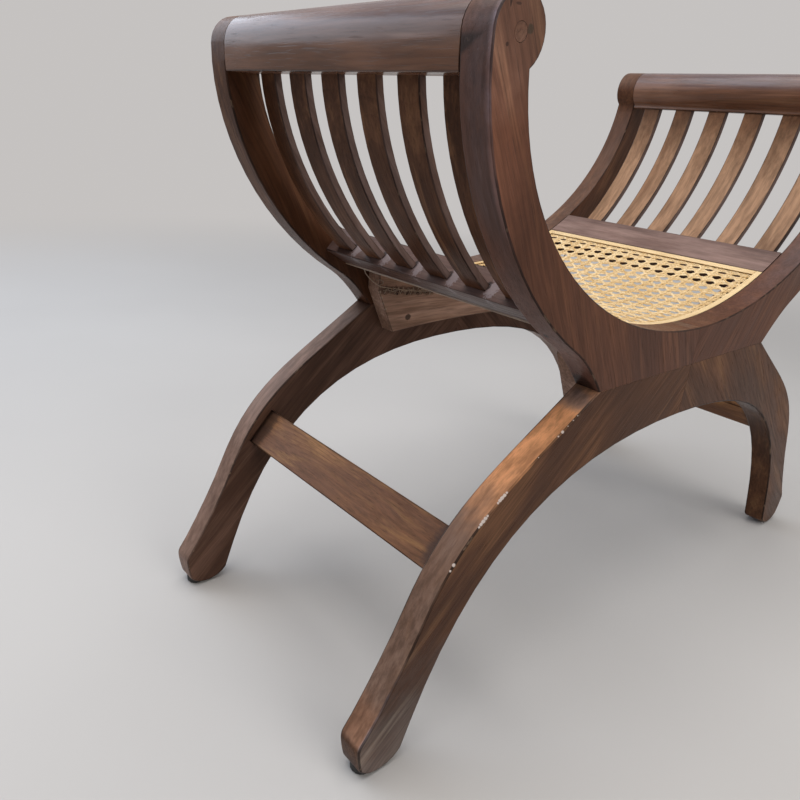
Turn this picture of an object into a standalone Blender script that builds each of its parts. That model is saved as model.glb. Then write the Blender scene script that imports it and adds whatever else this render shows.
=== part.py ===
"""Curule stool: two scroll-armed side frames, slatted ends and a slung cane seat.

Metres, +Z up. X runs from arm to arm, Y from the front frame to the back frame. The origin is on
the floor under the middle of the seat. Outlines are drawn in X and Z and given thickness along Y.
"""
import math

import bmesh
import bpy
from mathutils import Matrix, Vector

# Overall sizes
DEPTH = 0.370                     # outside of the front frame to outside of the back frame
BOARD = 0.028                     # thickness of the boards in the side frames
CLEARANCE = 0.0003                # gap between two pieces that touch

# Waist, where the arms stand on the legs
WAIST_HEIGHT = 0.336
WAIST_HALF_WIDTH = 0.1685
WAIST_SLOPE = math.radians(52)
WAIST_EASE_LENGTH = 0.015

# Seat curve: the lower half of an ellipse, which is also the inner face of the arms
ARM_MIDDLE_HEIGHT = 0.041         # from the waist up to the lowest point of the seat curve
SEAT_HALF_WIDTH = 0.338
SEAT_SAG_DEPTH = 0.242

# Arms
ARM_TOP_WIDTH = 0.038
SCROLL_RADIUS = 0.025
SCROLL_DROP = 0.002               # from the ends of the seat curve down to the scroll's centre
ARM_UPPER_BOW_LENGTH = 0.077      # how far the outer edge keeps its direction below the scroll
ARM_LOWER_BOW_LENGTH = 0.126      # and above the shoulder
SHOULDER_REACH = 0.046            # out from the waist to where the outer edge starts to turn in
SHOULDER_RISE = 0.0435
SHOULDER_SLOPE = math.radians(30)
SHOULDER_EASE_LENGTH = 0.018

# Legs
FEET_HALF_WIDTH = 0.4325          # out to the toes
LEG_TOP_SLOPE = math.radians(33.5)
LEG_UPPER_BOW_LENGTH = 0.130
LEG_LOWER_BOW_LENGTH = 0.106
ANKLE_INSET = 0.0615              # from the toe in to the outer edge at the ankle
ANKLE_HEIGHT = 0.151
ANKLE_LEAN = math.radians(23)     # from upright
ANKLE_EASE_LENGTH = 0.030
TOE_HEIGHT = 0.042
TOE_LEAN = math.radians(38.5)
TOE_EASE_LENGTH = 0.025
TOE_BOW_LENGTH = 0.013            # how far the toe's front drops straight
SOLE_INSET = 0.005                # from the toe in to the front edge of the rounded sole
SOLE_FRONT_HEIGHT = 0.0118
SOLE_WIDTH = 0.0485               # from the front edge in to the heel's corner
SOLE_SLOPE = math.radians(51)     # at both ends of the sole
SOLE_BOW_LENGTH = 0.0185
HEEL_HEIGHT = 0.0135
HEEL_LEAN = math.radians(19)
HEEL_LENGTH = 0.0336              # straight stretch of the inner edge above the heel
LEG_MIDDLE_HEIGHT = 0.0585        # from the crown of the arch up to the waist
ARCH_LOWER_BOW_LENGTH = 0.179
ARCH_UPPER_BOW_LENGTH = 0.206

# Rails of the slatted ends
TOP_RAIL_DROP = 0.025             # from the scroll's centre down to the top rail's underside
CANE_HALF_LENGTH = 0.1815         # from the middle out to the lower rail's face
RAIL_FACE_WIDTH = 0.039           # on from there, level, to the face's other edge
LEDGE_DEPTH = 0.033               # the lower rail's upper side, which takes the slats
LEDGE_SLOPE = math.radians(46)
RAIL_UNDERSIDE_WIDTH = 0.031      # the lower rail's underside, in from the ledge's outer edge
RAIL_UNDERSIDE_SLOPE = math.radians(31)
REBATE_DEPTH = 0.0045             # step in the lower rail that the cane lies in
CANE_LAP_WIDTH = 0.0150
RAIL_LIP_THICKNESS = 0.018        # the lower rail under the cane

# Slats
SLAT_COUNT = 6
SLAT_WIDTH = 0.0255
SLAT_THICKNESS = 0.008
SLAT_END_GAP = 0.018              # between an arm and the first slat
SLAT_COVER_THICKNESS = 0.002      # wood between the slats and the top rail's inner edge
SLAT_INSET = 0.0165               # from the shoulder to the line of the slats' outer faces
SLAT_TENON_LENGTH = 0.012

# Stretchers between the legs
STRETCHER_WIDTH = 0.047
STRETCHER_THICKNESS = 0.018
STRETCHER_SLOPE = math.radians(48)
STRETCHER_INSET = 0.016           # from the leg's outer edge to the stretcher's outer face
STRETCHER_SHARE = 0.76            # of the leg's outer curve, down from the waist
STRETCHER_TENON_LENGTH = 0.010
HOUSING_PLAY = 0.005              # slot left open beside the stretcher's outer face

# Seat
CLEAT_THICKNESS = 0.022
CLEAT_END_RISE = 0.024            # above the waist, where the cleat's ends start to slant in
CLEAT_SLANT_WIDTH = 0.029
CLEAT_DROP = 0.033                # below the waist
CLEAT_CAMBER_HEIGHT = 0.005
CANE_THICKNESS = 0.0025
CANE_COLUMNS = 12                 # openings along the seat curve
CANE_ROWS = 12                    # openings from frame to frame
CANE_OPENING_SHARE = 0.44         # of the spacing
BINDER_WIDTH = 0.007
BINDER_THICKNESS = 0.0012

# Fixings
TOP_DOWEL_RADIUS = 0.006
TOP_DOWEL_DEPTH = 0.030           # into the top rail
FRAME_DOWEL_RADIUS = 0.006
FRAME_DOWEL_LENGTH = 0.044
WAIST_DOWEL_HALF_SPACING = 0.090
SEAT_DOWEL_RADIUS = 0.005
SEAT_DOWEL_DEPTH = 0.018          # into the arm, and as far again into the lower rail
SEAT_DOWEL_SHARE = 0.58           # of the lower rail's width
SCREW_RADIUS = 0.002
SCREW_HEAD_RADIUS = 0.004
SCREW_HEAD_DEPTH = 0.0025
SCREW_GRIP_LENGTH = 0.012         # into the arm
SCREW_HALF_SPACING = 0.115
SCREW_RISE = 0.031                # above the waist

# Feet
GLIDE_RADIUS = 0.0105
GLIDE_HEIGHT = 0.016              # most of it let into the foot
GLIDE_INSET = 0.0015              # from the sole's front edge
GLIDE_EDGE_WIDTH = 0.001

# Facets
CURVE_STEPS = 14
SHORT_STEPS = 5
SCROLL_STEPS = 20
DOWEL_SIDES = 16

LEFT, RIGHT = -1, 1
FRONT, BACK = -1, 1
SIDES = {"left": LEFT, "right": RIGHT}
FRAMES = {"front": FRONT, "back": BACK}

INNER_FACE = DEPTH / 2 - BOARD    # distance of a frame's inner face from the middle
FRAME_MIDDLE = DEPTH / 2 - BOARD / 2


def start_scene():
    """Empty the scene and make the collections for the pieces and for the cutters."""
    for item in list(bpy.data.objects):
        bpy.data.objects.remove(item)
    for name in ("curule_stool", "cutters"):
        bpy.context.scene.collection.children.link(bpy.data.collections.new(name))


def finish(name, colour, roughness, metallic=0.0):
    """A plain surface with one colour."""
    material = bpy.data.materials.new(name)
    material.use_nodes = True
    shader = material.node_tree.nodes["Principled BSDF"]
    shader.inputs["Base Color"].default_value = (*colour, 1.0)
    shader.inputs["Roughness"].default_value = roughness
    shader.inputs["Metallic"].default_value = metallic
    return material


# Plane geometry. Points are (x, z), drawn for the left half, where x is negative.

def heading(slope):
    """Unit vector that climbs at this slope to the right."""
    return Vector((math.cos(slope), math.sin(slope)))


def cubic(start, pull_start, pull_end, end, share):
    """Point on a Bezier curve."""
    rest = 1.0 - share
    return (start * rest ** 3 + pull_start * 3 * rest ** 2 * share
            + pull_end * 3 * rest * share ** 2 + end * share ** 3)


def sweep(curve, steps, first=0.0, last=1.0):
    """Points along a curve, both ends among them."""
    return [curve(first + (last - first) * step / steps) for step in range(steps + 1)]


def find(test, low, high):
    """Where test turns from true to false between low and high."""
    for _ in range(50):
        middle = (low + high) / 2
        if test(middle):
            low = middle
        else:
            high = middle
    return (low + high) / 2


def beside(curve, share, distance):
    """Point beside a curve, to the left of its direction of travel."""
    step = 0.0005
    along = (curve(share + step) - curve(share - step)).normalized()
    return curve(share) + Vector((-along.y, along.x)) * distance


def seat_angle(out):
    """Angle on the seat curve, from its lowest point, at this distance from the middle."""
    return -math.asin(out / SEAT_HALF_WIDTH)


def seat_point(angle, below=0.0):
    """Point on the seat curve, or square below it."""
    normal = Vector((SEAT_SAG_DEPTH * math.sin(angle), -SEAT_HALF_WIDTH * math.cos(angle))).normalized()
    point = Vector((SEAT_HALF_WIDTH * math.sin(angle), SEAT_RIM - SEAT_SAG_DEPTH * math.cos(angle)))
    return point + normal * below


SEAT_RIM = WAIST_HEIGHT + ARM_MIDDLE_HEIGHT + SEAT_SAG_DEPTH
SCROLL_CENTRE = Vector((SCROLL_RADIUS - SEAT_HALF_WIDTH - ARM_TOP_WIDTH, SEAT_RIM - SCROLL_DROP))
TOP_RAIL_BOTTOM = SCROLL_CENTRE.y - TOP_RAIL_DROP
RAIL_FACE_END = CANE_HALF_LENGTH + RAIL_FACE_WIDTH
WAIST = Vector((-WAIST_HALF_WIDTH, WAIST_HEIGHT))
SHOULDER = WAIST + Vector((-SHOULDER_REACH, SHOULDER_RISE))
TOE = Vector((-FEET_HALF_WIDTH, TOE_HEIGHT))
ANKLE = Vector((TOE.x + ANKLE_INSET, ANKLE_HEIGHT))
SOLE_FRONT = Vector((TOE.x + SOLE_INSET, SOLE_FRONT_HEIGHT))
HEEL = Vector((SOLE_FRONT.x + SOLE_WIDTH, HEEL_HEIGHT))
CROWN = Vector((0, WAIST_HEIGHT - LEG_MIDDLE_HEIGHT))


def arm_outer(share):
    """Outer edge of an arm, from the scroll down to the shoulder."""
    top = SCROLL_CENTRE - Vector((SCROLL_RADIUS, 0))
    return cubic(top, top - Vector((0, ARM_UPPER_BOW_LENGTH)),
                 SHOULDER - heading(-SHOULDER_SLOPE) * ARM_LOWER_BOW_LENGTH, SHOULDER, share)


def arm_waist(share):
    """Outer edge of an arm, from the shoulder down to the waist."""
    return cubic(SHOULDER, SHOULDER + heading(-SHOULDER_SLOPE) * SHOULDER_EASE_LENGTH,
                 WAIST - heading(-WAIST_SLOPE) * WAIST_EASE_LENGTH, WAIST, share)


def leg_outer(share):
    """Outer edge of a leg, from the waist down to the ankle."""
    return cubic(WAIST, WAIST - heading(LEG_TOP_SLOPE) * LEG_UPPER_BOW_LENGTH,
                 ANKLE + heading(math.pi / 2 - ANKLE_LEAN) * LEG_LOWER_BOW_LENGTH, ANKLE, share)


def leg_foot(share):
    """Outer edge of a leg, from the ankle out to the toe."""
    return cubic(ANKLE, ANKLE - heading(math.pi / 2 - ANKLE_LEAN) * ANKLE_EASE_LENGTH,
                 TOE + heading(math.pi / 2 - TOE_LEAN) * TOE_EASE_LENGTH, TOE, share)


def toe_front(share):
    """Outer edge of a leg, from the toe down to the sole."""
    return cubic(TOE, TOE - Vector((0, TOE_BOW_LENGTH)), SOLE_FRONT, SOLE_FRONT, share)


def sole(share):
    """Rounded underside of a foot, from its front edge in to the heel."""
    return cubic(SOLE_FRONT, SOLE_FRONT + heading(-SOLE_SLOPE) * SOLE_BOW_LENGTH,
                 HEEL - heading(SOLE_SLOPE) * SOLE_BOW_LENGTH, HEEL, share)


def arch(share):
    """Inner edge of a leg, from the end of its straight stretch up to the crown."""
    upward = heading(math.pi / 2 - HEEL_LEAN)
    start = HEEL + upward * HEEL_LENGTH
    return cubic(start, start + upward * ARCH_LOWER_BOW_LENGTH,
                 CROWN - Vector((ARCH_UPPER_BOW_LENGTH, 0)), CROWN, share)


def scroll(angle):
    """Point on the round scroll, with the angle counted from +X."""
    return SCROLL_CENTRE + heading(angle) * SCROLL_RADIUS


def notch_angle():
    """Angle on the seat curve where it meets the scroll."""
    def clear_of_scroll(angle):
        return (seat_point(angle) - SCROLL_CENTRE).length > SCROLL_RADIUS
    return find(clear_of_scroll, seat_angle(RAIL_FACE_END), -math.pi / 2)


def scroll_top():
    """The scroll from the outer edge over the top to the notch above the arm's inner face."""
    notch = seat_point(notch_angle()) - SCROLL_CENTRE
    return sweep(scroll, SCROLL_STEPS, math.pi, math.atan2(notch.y, notch.x))


# Outlines of the pieces

def arm_outline():
    inner = sweep(seat_point, 2 * CURVE_STEPS, notch_angle(), 0.0)
    joint = WAIST_HEIGHT + CLEARANCE / 2
    inner[-1].x = -CLEARANCE / 2
    waist = Vector((WAIST.x, joint))
    outer = sweep(arm_waist, SHORT_STEPS)[:-1] + [waist]
    upper = sweep(arm_outer, CURVE_STEPS)[1:-1]
    return scroll_top() + inner[1:] + [Vector((-CLEARANCE / 2, joint))] + outer[::-1] + upper[::-1]


def leg_outline():
    joint = WAIST_HEIGHT - CLEARANCE / 2
    top = [Vector((-CLEARANCE / 2, joint)), Vector((WAIST.x, joint))]
    outer = sweep(leg_outer, CURVE_STEPS)[1:] + sweep(leg_foot, SHORT_STEPS)[1:]
    under = sweep(toe_front, SHORT_STEPS)[1:] + sweep(sole, CURVE_STEPS)[1:]
    inner = sweep(arch, CURVE_STEPS)
    inner[-1].x = -CLEARANCE / 2
    return top + outer + under + inner


def top_rail_outline():
    low = -math.acos((SEAT_RIM - TOP_RAIL_BOTTOM) / SEAT_SAG_DEPTH)
    inner = sweep(seat_point, SHORT_STEPS, notch_angle(), low)[1:]
    bottom = find(lambda share: arm_outer(share).y > TOP_RAIL_BOTTOM, 0.0, 1.0)
    return scroll_top() + inner + sweep(arm_outer, SHORT_STEPS, bottom, 0.0)[:-1]


def ledge_ends():
    """The two edges of the lower rail's upper side: on the seat curve, and outside."""
    inside = seat_point(seat_angle(RAIL_FACE_END))
    return inside, inside - heading(LEDGE_SLOPE) * LEDGE_DEPTH


def lip_angle():
    """Angle on the seat curve where the lower rail ends, under the cane."""
    return seat_angle(CANE_HALF_LENGTH - CANE_LAP_WIDTH)


def lip_ends():
    """The two edges of the lower rail's end under the cane: above and below."""
    return seat_point(lip_angle(), REBATE_DEPTH), seat_point(lip_angle(), REBATE_DEPTH + RAIL_LIP_THICKNESS)


def lower_rail_outline():
    inside, outside = ledge_ends()
    step = seat_angle(CANE_HALF_LENGTH)
    face = sweep(seat_point, SHORT_STEPS, seat_angle(RAIL_FACE_END), step)
    lap = sweep(lambda angle: seat_point(angle, REBATE_DEPTH), SHORT_STEPS, step, lip_angle())
    corner = outside + heading(-RAIL_UNDERSIDE_SLOPE) * RAIL_UNDERSIDE_WIDTH
    return face + lap + [lip_ends()[1], corner, outside]


def above_ledge(point):
    """Height of a point square to the lower rail's upper side."""
    inside, outside = ledge_ends()
    along = (inside - outside).normalized()
    offset = point - outside
    return offset.y * along.x - offset.x * along.y


def slat_line(share, aside=0.0):
    """Middle of a slat's thickness, or beside it: near the seat curve above, further out below."""
    above = ARM_TOP_WIDTH - SLAT_COVER_THICKNESS - SLAT_THICKNESS
    inset = above + (SLAT_INSET - above) * share * share
    return beside(arm_outer, share, inset + SLAT_THICKNESS / 2 + aside)


def slat_outline(grow=0.0):
    """A slat with its two tenons, or its mortises if it grows by a clearance."""
    half = SLAT_THICKNESS / 2 + grow
    tenon = SLAT_TENON_LENGTH + grow
    first = find(lambda share: slat_line(share).y > TOP_RAIL_BOTTOM + tenon, 0.0, 1.0)
    last = find(lambda share: above_ledge(slat_line(share)) > -tenon, first, 1.0)
    outer = sweep(lambda share: slat_line(share, -half), CURVE_STEPS, first, last)
    inner = sweep(lambda share: slat_line(share, half), CURVE_STEPS, first, last)
    return outer + inner[::-1]


def stretcher_outline(grow=0.0, play=0.0):
    """Section of a stretcher, or of its housing in the leg if it grows and gets some play."""
    face = beside(leg_outer, STRETCHER_SHARE, STRETCHER_INSET)
    up = heading(STRETCHER_SLOPE)
    inward = heading(STRETCHER_SLOPE - math.pi / 2)
    half = up * (STRETCHER_WIDTH / 2 + grow)
    near = face - inward * (grow + play)
    far = face + inward * (STRETCHER_THICKNESS + grow)
    return [near + half, near - half, far - half, far + half]


def seat_band(out, over, under):
    """A strip of the seat curve, between two depths below it, out to this distance on both sides."""
    ends = seat_angle(out), -seat_angle(out)
    upper = sweep(lambda angle: seat_point(angle, over), 2 * CURVE_STEPS, *ends)
    lower = sweep(lambda angle: seat_point(angle, under), 2 * CURVE_STEPS, *ends)
    return upper + lower[::-1]


def end_band(out, into, over, under):
    """The same strip on the left side only, between two distances from the middle."""
    ends = seat_angle(out), seat_angle(into)
    upper = sweep(lambda angle: seat_point(angle, over), SHORT_STEPS, *ends)
    lower = sweep(lambda angle: seat_point(angle, under), SHORT_STEPS, *ends)
    return upper + lower[::-1]


def cleat_outline():
    """Board under a long edge of the cane, fitted between the two lower rails."""
    shift = Vector((CLEARANCE, 0))
    left_top, left_low = (corner + shift for corner in lip_ends())
    left_end = Vector((left_low.x, WAIST_HEIGHT + CLEAT_END_RISE))
    half = -left_end.x - CLEAT_SLANT_WIDTH
    top = sweep(lambda angle: seat_point(angle, REBATE_DEPTH), 2 * CURVE_STEPS, lip_angle(), -lip_angle())
    top[0] = left_top
    top[-1] = mirrored([left_top])[0]

    def bottom(share):
        rise = CLEAT_CAMBER_HEIGHT * (1 - share * share)
        return Vector((half * share, WAIST_HEIGHT - CLEAT_DROP + rise))
    ends = [left_end, left_low]
    return top + mirrored(ends[::-1]) + sweep(bottom, CURVE_STEPS, 1.0, -1.0) + ends


def mirrored(outline, side=RIGHT):
    """The outline on the left side, or turned over to the right side."""
    return [Vector((-point.x * side, point.y)) for point in outline]


# Solids

def keep(name, mesh_data, collection, material=None):
    """Put a finished bmesh in the scene as an object."""
    bmesh.ops.recalc_face_normals(mesh_data, faces=mesh_data.faces)
    mesh = bpy.data.meshes.new(name)
    mesh_data.to_mesh(mesh)
    mesh_data.free()
    item = bpy.data.objects.new(name, mesh)
    bpy.data.collections[collection].objects.link(item)
    if material:
        mesh.materials.append(material)
        mesh.shade_smooth()
        mesh.set_sharp_from_angle(angle=math.radians(30))
    else:
        item.hide_render = True
        item.display_type = "WIRE"
    return item


def extruded(outline, y_low, y_high):
    """A flat outline in X and Z, filled and given its thickness along Y."""
    curve = bpy.data.curves.new("outline", "CURVE")
    curve.dimensions = "2D"
    curve.fill_mode = "BOTH"
    curve.extrude = (y_high - y_low) / 2
    spline = curve.splines.new("POLY")
    spline.points.add(len(outline) - 1)
    for spot, point in zip(spline.points, outline):
        spot.co = (point.x, point.y, 0.0, 1.0)
    spline.use_cyclic_u = True
    item = bpy.data.objects.new("outline", curve)
    bpy.context.scene.collection.objects.link(item)
    mesh = bpy.data.meshes.new_from_object(item.evaluated_get(bpy.context.evaluated_depsgraph_get()))
    mesh_data = bmesh.new()
    mesh_data.from_mesh(mesh)
    bmesh.ops.remove_doubles(mesh_data, verts=mesh_data.verts, dist=0.00001)
    upright = Matrix.Translation((0, (y_low + y_high) / 2, 0)) @ Matrix.Rotation(math.pi / 2, 4, "X")
    bmesh.ops.transform(mesh_data, matrix=upright, verts=mesh_data.verts)
    bpy.data.objects.remove(item)
    bpy.data.meshes.remove(mesh)
    return mesh_data


def board(name, outline, y_low, y_high, material):
    return keep(name, extruded(outline, y_low, y_high), "curule_stool", material)


def opening_lines(edge, border, count):
    """Where evenly spaced openings start and end between two borders, and the two edges."""
    spacing = 2 * (edge - border) / count
    bar = spacing * (1 - CANE_OPENING_SHARE) / 2
    lines = [-edge]
    for place in range(count):
        start = border - edge + spacing * place
        lines += [start + bar, start + spacing - bar]
    return lines + [edge]


def pierced(columns, rows, below):
    """An open sheet along the seat curve with an opening in every second cell, both ways."""
    mesh_data = bmesh.new()
    across, along = len(columns) - 1, len(rows) - 1
    bmesh.ops.create_grid(mesh_data, x_segments=across, y_segments=along, size=1)

    def cell(spot):
        return (spot.x + 1) / 2 * across, (spot.y + 1) / 2 * along
    openings = []
    for face in mesh_data.faces:
        column, row = cell(face.calc_center_median())
        if int(column) % 2 and int(row) % 2:
            openings.append(face)
    bmesh.ops.delete(mesh_data, geom=openings, context="FACES")
    for corner in mesh_data.verts:
        column, row = (round(count) for count in cell(corner.co))
        point = seat_point(-seat_angle(columns[column]), below)
        corner.co = (point.x, rows[row], point.y)
    return mesh_data


def rod(start, end, radius, longer=0.0):
    """A round rod between two points, or past them."""
    start, end = Vector(start), Vector(end)
    mesh_data = bmesh.new()
    turn = (end - start).to_track_quat("Z", "Y").to_matrix().to_4x4()
    bmesh.ops.create_cone(mesh_data, cap_ends=True, segments=DOWEL_SIDES, radius1=radius, radius2=radius,
                          depth=(end - start).length + 2 * longer,
                          matrix=Matrix.Translation((start + end) / 2) @ turn)
    return mesh_data


def cut(items, cutter):
    """Take the cutter's shape out of each item."""
    for item in items:
        step = item.modifiers.new(cutter.name, "BOOLEAN")
        step.operation = "DIFFERENCE"
        step.solver = "EXACT"
        step.object = cutter


def dowel(name, start, end, radius, material, through):
    """A dowel, and its hole in the pieces that it goes through."""
    keep(name, rod(start, end, radius), "curule_stool", material)
    hole = rod(start, end, radius + CLEARANCE, CLEARANCE)
    cut(through, keep(name + "_hole", hole, "cutters"))


def turned(profile, centre, direction):
    """A turned solid: (radius, distance) points from its start to its end, along a direction."""
    mesh_data = bmesh.new()
    spots = [mesh_data.verts.new((radius, 0, along)) for radius, along in profile]
    edges = [mesh_data.edges.new(pair) for pair in zip(spots, spots[1:])]
    bmesh.ops.spin(mesh_data, geom=spots + edges, cent=(0, 0, 0), axis=(0, 0, 1), dvec=(0, 0, 0),
                   angle=2 * math.pi, steps=DOWEL_SIDES, use_merge=True)
    bmesh.ops.remove_doubles(mesh_data, verts=mesh_data.verts, dist=0.00001)
    turn = Vector(direction).to_track_quat("Z", "Y").to_matrix().to_4x4()
    place = Matrix.Translation(centre) @ turn
    bmesh.ops.transform(mesh_data, matrix=place, verts=mesh_data.verts)
    return mesh_data


def joined(parts):
    """Several bmeshes in one, each still a body of its own."""
    whole = bmesh.new()
    for mesh_data in parts:
        mesh = bpy.data.meshes.new("joined")
        mesh_data.to_mesh(mesh)
        mesh_data.free()
        whole.from_mesh(mesh)
        bpy.data.meshes.remove(mesh)
    return whole


# The pieces

def frame_span(frame):
    """Lowest and highest y of a side frame."""
    return sorted((frame * INNER_FACE, frame * DEPTH / 2))


def make_frames(arm_wood, leg_wood):
    """Arms and legs, by frame and side."""
    arms, legs = {}, {}
    for frame_name, frame in FRAMES.items():
        for side_name, side in SIDES.items():
            label = frame_name + "_" + side_name
            arms[frame, side] = board(label + "_arm", mirrored(arm_outline(), side),
                                      *frame_span(frame), arm_wood)
            legs[frame, side] = board(label + "_leg", mirrored(leg_outline(), side),
                                      *frame_span(frame), leg_wood)
    return arms, legs


def make_rails(material):
    """Top rails and lower rails between the frames, by side."""
    top_rails, lower_rails = {}, {}
    reach = INNER_FACE - CLEARANCE
    for name, side in SIDES.items():
        top_rails[side] = board(name + "_top_rail", mirrored(top_rail_outline(), side),
                                -reach, reach, material)
        lower_rails[side] = board(name + "_lower_rail", mirrored(lower_rail_outline(), side),
                                  -reach, reach, material)
    return top_rails, lower_rails


def make_slats(top_rails, lower_rails, material):
    """Evenly spaced slats, let into the rails at both ends."""
    pitch = (2 * (INNER_FACE - SLAT_END_GAP) - SLAT_WIDTH) / (SLAT_COUNT - 1)
    for name, side in SIDES.items():
        mortises = []
        for place in range(SLAT_COUNT):
            middle = pitch * ((SLAT_COUNT - 1) / 2 - place)
            low, high = middle - SLAT_WIDTH / 2, middle + SLAT_WIDTH / 2
            board("%s_slat_%d" % (name, place + 1), mirrored(slat_outline(), side), low, high, material)
            mortises.append(extruded(mirrored(slat_outline(CLEARANCE), side),
                                     low - CLEARANCE, high + CLEARANCE))
        cut((top_rails[side], lower_rails[side]), keep(name + "_mortises", joined(mortises), "cutters"))


def make_stretchers(legs, material):
    """Flat stretchers, housed in the legs."""
    reach = INNER_FACE + STRETCHER_TENON_LENGTH
    for name, side in SIDES.items():
        board(name + "_stretcher", mirrored(stretcher_outline(), side), -reach, reach, material)
        housing = extruded(mirrored(stretcher_outline(CLEARANCE, HOUSING_PLAY), side),
                           -reach - CLEARANCE, reach + CLEARANCE)
        cut((legs[FRONT, side], legs[BACK, side]), keep(name + "_housing", housing, "cutters"))


def make_seat(wood, cane):
    """Cleats inside the frames, the cane on them and the strips over its edges."""
    cleats = {}
    for name, frame in FRAMES.items():
        face = frame * (INNER_FACE - CLEARANCE)
        cleats[frame] = board(name + "_seat_cleat", cleat_outline(),
                              *sorted((face, face - frame * CLEAT_THICKNESS)), wood)
    under = REBATE_DEPTH - CLEARANCE
    over = under - CANE_THICKNESS
    edge = CANE_HALF_LENGTH - CLEARANCE
    reach = INNER_FACE - CLEARANCE
    columns = opening_lines(edge, CANE_LAP_WIDTH, CANE_COLUMNS)
    rows = opening_lines(reach, CLEAT_THICKNESS, CANE_ROWS)
    sheet = keep("cane_seat", pierced(columns, rows, (over + under) / 2), "curule_stool", cane)
    shell = sheet.modifiers.new("thickness", "SOLIDIFY")
    shell.thickness = CANE_THICKNESS
    shell.offset = 0
    shell.use_even_offset = True
    binder_low = over - CLEARANCE
    depths = binder_low - BINDER_THICKNESS, binder_low
    for name, frame in FRAMES.items():
        board(name + "_cane_binder", seat_band(edge, *depths),
              *sorted((frame * reach, frame * (reach - BINDER_WIDTH))), cane)
    short = reach - BINDER_WIDTH - CLEARANCE
    for name, side in SIDES.items():
        strip = end_band(edge, edge - BINDER_WIDTH, *depths)
        board(name + "_cane_binder", mirrored(strip, side), -short, short, cane)
    return cleats


def make_frame_dowels(arms, legs, wood):
    """Dowels that join each arm to its leg and the left half of a frame to the right half."""
    half = FRAME_DOWEL_LENGTH / 2
    heights = {"arm": WAIST_HEIGHT + ARM_MIDDLE_HEIGHT / 2,
               "leg": WAIST_HEIGHT - LEG_MIDDLE_HEIGHT / 2}
    for frame_name, frame in FRAMES.items():
        y = frame * FRAME_MIDDLE
        for side_name, side in SIDES.items():
            x = side * WAIST_DOWEL_HALF_SPACING
            dowel("%s_%s_waist_dowel" % (frame_name, side_name), (x, y, WAIST_HEIGHT - half),
                  (x, y, WAIST_HEIGHT + half), FRAME_DOWEL_RADIUS, wood,
                  (arms[frame, side], legs[frame, side]))
        for piece_name, pieces in (("arm", arms), ("leg", legs)):
            z = heights[piece_name]
            dowel("%s_%s_dowel" % (frame_name, piece_name), (-half, y, z), (half, y, z),
                  FRAME_DOWEL_RADIUS, wood, (pieces[frame, LEFT], pieces[frame, RIGHT]))


def make_rail_dowels(arms, top_rails, lower_rails, wood):
    """A dowel through each scroll into the top rail, and a hidden one into the lower rail."""
    inside, outside = ledge_ends()
    above, below = lip_ends()
    spot = ((inside + outside) / 2).lerp((above + below) / 2, SEAT_DOWEL_SHARE)
    for frame_name, frame in FRAMES.items():
        for side_name, side in SIDES.items():
            label = frame_name + "_" + side_name
            x = -side * SCROLL_CENTRE.x
            dowel(label + "_top_rail_dowel", (x, frame * DEPTH / 2, SCROLL_CENTRE.y),
                  (x, frame * (INNER_FACE - TOP_DOWEL_DEPTH), SCROLL_CENTRE.y),
                  TOP_DOWEL_RADIUS, wood, (arms[frame, side], top_rails[side]))
            x = -side * spot.x
            dowel(label + "_lower_rail_dowel", (x, frame * (INNER_FACE + SEAT_DOWEL_DEPTH), spot.y),
                  (x, frame * (INNER_FACE - SEAT_DOWEL_DEPTH), spot.y),
                  SEAT_DOWEL_RADIUS, wood, (arms[frame, side], lower_rails[side]))


def screw_profile(grow=0.0):
    """A countersunk screw from its head to its tip, or its hole if it grows by a clearance."""
    tip = CLEAT_THICKNESS + SCREW_GRIP_LENGTH + grow
    return [(0, -grow), (SCREW_HEAD_RADIUS + grow, -grow), (SCREW_RADIUS + grow, SCREW_HEAD_DEPTH),
            (SCREW_RADIUS + grow, tip), (0, tip)]


def make_cleat_screws(cleats, arms, steel):
    """Countersunk screws that hold the cleats to the arms."""
    for frame_name, frame in FRAMES.items():
        y = frame * (INNER_FACE - CLEARANCE - CLEAT_THICKNESS)
        for side_name, side in SIDES.items():
            name = "%s_%s_cleat_screw" % (frame_name, side_name)
            head = (side * SCREW_HALF_SPACING, y, WAIST_HEIGHT + SCREW_RISE)
            keep(name, turned(screw_profile(), head, (0, frame, 0)), "curule_stool", steel)
            hole = turned(screw_profile(CLEARANCE), head, (0, frame, 0))
            cut((cleats[frame], arms[frame, side]), keep(name + "_hole", hole, "cutters"))


def glide_profile(grow=0.0):
    """A round pad from the floor up, or its hole in the foot if it grows by a clearance."""
    radius, top = GLIDE_RADIUS + grow, GLIDE_HEIGHT + grow
    return [(0, -grow), (radius - GLIDE_EDGE_WIDTH, -grow), (radius, GLIDE_EDGE_WIDTH - grow),
            (radius, top), (0, top)]


def make_glides(legs, rubber):
    """A round pad let into the sole of each foot."""
    for frame_name, frame in FRAMES.items():
        for side_name, side in SIDES.items():
            name = "%s_%s_foot_glide" % (frame_name, side_name)
            spot = (-side * (SOLE_FRONT.x + GLIDE_INSET + GLIDE_RADIUS), frame * FRAME_MIDDLE, 0)
            keep(name, turned(glide_profile(), spot, (0, 0, 1)), "curule_stool", rubber)
            hole = turned(glide_profile(CLEARANCE), spot, (0, 0, 1))
            cut([legs[frame, side]], keep(name + "_hole", hole, "cutters"))


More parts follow.
